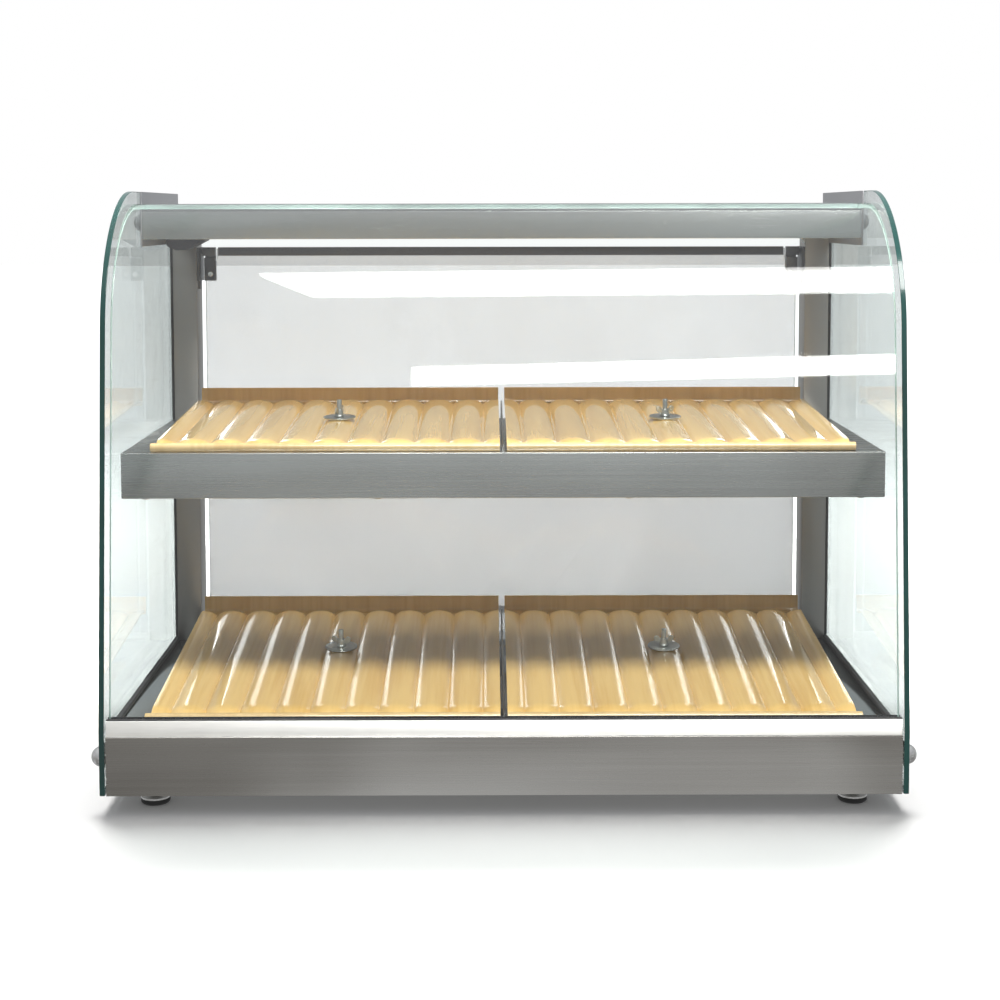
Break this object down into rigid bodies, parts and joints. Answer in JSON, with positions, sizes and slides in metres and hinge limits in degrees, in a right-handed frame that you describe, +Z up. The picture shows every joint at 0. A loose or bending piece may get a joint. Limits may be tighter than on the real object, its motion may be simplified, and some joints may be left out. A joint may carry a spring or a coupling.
{
  "type": "hot food display case",
  "caption": "Counter-top heated display case with curved front glass, glass sides, sloping corrugated trays on two levels and a lift-up glass back door.",
  "frame": {"origin": "bottom centre of the box around the whole case, on the table", "axes": "+Z up; the curved front glass faces -Y and the back door faces +Y; +X runs along the case's width, to the right as seen from the front"},
  "size_m": [0.927, 0.504, 0.694],
  "materials": {
    "brushed_steel": "brushed along its length",
    "plain_steel": "mill finish",
    "polished_steel": "polished",
    "pale_metal": "satin",
    "dark_zinc": "satin dark grey",
    "zinc": "zinc plated",
    "clear_glass": "clear tempered, green at the edge",
    "door_glass": "lightly frosted",
    "clear_cover": "clear",
    "tube_white": "opal white",
    "white_plastic": "matte",
    "navy_plastic": "satin navy",
    "black_rubber": "matte",
    "black_plastic": "fine texture",
    "green_plastic": "gloss",
    "amber_lens": "clear gloss",
    "heater_black": "oxidised",
    "tray_plastic": "glossy, wood yellow"
  },
  "bodies": {
    "case": {"base_shell": "brushed_steel", "base_floor": "plain_steel", "deck_plate": "brushed_steel", "front_rail": "polished_steel", "front_seals": "black_rubber", "side_seals": "black_rubber", "foot_pads": "black_rubber", "foot_discs": "polished_steel", "rear_posts": "brushed_steel", "post_brackets": "polished_steel", "shelf_body": "brushed_steel", "shelf_bottom": "plain_steel", "lamp_housing": "brushed_steel", "housing_bottom": "plain_steel", "end_plates": "pale_metal", "lamp_tube": "tube_white", "lamp_holders": "white_plastic", "lamp_cover": "clear_cover", "cable_cover": "navy_plastic", "side_glass_left": "clear_glass", "side_glass_right": "clear_glass", "front_glass": "clear_glass", "cap_nuts": "polished_steel", "cap_washers": "polished_steel", "glass_bolts": "zinc", "glass_spacers": "white_plastic", "heating_elements": "heater_black", "heater_clips": "plain_steel", "thermostat_body": "pale_metal", "dial_plate": "black_plastic", "switch_frames": "black_plastic", "pilot_lamp": "amber_lens", "mains_inlet": "black_plastic", "terminal_block": "white_plastic", "tray_lower_left": "tray_plastic", "tray_lower_right": "tray_plastic", "tray_upper_left": "tray_plastic", "tray_upper_right": "tray_plastic", "tray_studs": "zinc", "tray_dividers": "plain_steel", "hinge_leaves": "dark_zinc", "door_stops": "black_rubber", "case_rivets": "polished_steel"},
    "door": {"door_pane": "door_glass", "door_trim": "dark_zinc", "hinge_clamps": "dark_zinc", "door_handle": "polished_steel", "door_screws": "polished_steel"},
    "knob": {"thermostat_knob": "black_plastic", "thermostat_spindle": "polished_steel"},
    "power_key": {"power_rocker": "green_plastic"},
    "light_key": {"light_rocker": "black_plastic"},
    "lower_left_washer": {"washer_lower_left": "zinc"},
    "lower_left_nut": {"wing_nut_lower_left": "zinc"},
    "lower_right_washer": {"washer_lower_right": "zinc"},
    "lower_right_nut": {"wing_nut_lower_right": "zinc"},
    "upper_left_washer": {"washer_upper_left": "zinc"},
    "upper_left_nut": {"wing_nut_upper_left": "zinc"},
    "upper_right_washer": {"washer_upper_right": "zinc"},
    "upper_right_nut": {"wing_nut_upper_right": "zinc"}
  },
  "joints": [
    {"name": "door_lift", "type": "hinge", "parent": "case", "child": "door", "pos_m": [0, 0.2165, 0.616], "axis": [1, 0, 0], "range_deg": [0, 90]},
    {"name": "thermostat_turn", "type": "hinge", "parent": "case", "child": "knob", "pos_m": [-0.3, 0.234, 0.055], "axis": [0, -1, 0], "range_deg": [0, 270]},
    {"name": "power_switch", "type": "hinge", "parent": "case", "child": "power_key", "pos_m": [-0.244, 0.234, 0.055], "axis": [1, 0, 0], "range_deg": [-16, 0]},
    {"name": "light_switch", "type": "hinge", "parent": "case", "child": "light_key", "pos_m": [-0.188, 0.234, 0.055], "axis": [1, 0, 0], "range_deg": [-16, 0]},
    {"name": "lower_left_rise", "type": "slide", "parent": "case", "child": "lower_left_washer", "axis": [0, -0.0906, 0.9959], "range_m": [0, 0.006]},
    {"name": "lower_left_spin", "type": "hinge", "parent": "lower_left_washer", "child": "lower_left_nut", "pos_m": [-0.204, 0.023, 0.11412], "axis": [0, -0.0906, 0.9959], "range_deg": [0, 2160]},
    {"name": "lower_right_rise", "type": "slide", "parent": "case", "child": "lower_right_washer", "axis": [0, -0.0906, 0.9959], "range_m": [0, 0.006]},
    {"name": "lower_right_spin", "type": "hinge", "parent": "lower_right_washer", "child": "lower_right_nut", "pos_m": [0.204, 0.023, 0.11412], "axis": [0, -0.0906, 0.9959], "range_deg": [0, 2160]},
    {"name": "upper_left_rise", "type": "slide", "parent": "case", "child": "upper_left_washer", "axis": [0, -0.0523, 0.9986], "range_m": [0, 0.006]},
    {"name": "upper_left_spin", "type": "hinge", "parent": "upper_left_washer", "child": "upper_left_nut", "pos_m": [-0.204, 0.023, 0.40583], "axis": [0, -0.0523, 0.9986], "range_deg": [0, 2160]},
    {"name": "upper_right_rise", "type": "slide", "parent": "case", "child": "upper_right_washer", "axis": [0, -0.0523, 0.9986], "range_m": [0, 0.006]},
    {"name": "upper_right_spin", "type": "hinge", "parent": "upper_right_washer", "child": "upper_right_nut", "pos_m": [0.204, 0.023, 0.40583], "axis": [0, -0.0523, 0.9986], "range_deg": [0, 2160]}
  ],
  "couplings": [
    {"joint": "lower_left_spin", "follows": "lower_left_rise", "rad_per_m": 6283.2},
    {"joint": "lower_right_spin", "follows": "lower_right_rise", "rad_per_m": 6283.2},
    {"joint": "upper_left_spin", "follows": "upper_left_rise", "rad_per_m": 6283.2},
    {"joint": "upper_right_spin", "follows": "upper_right_rise", "rad_per_m": 6283.2}
  ]
}
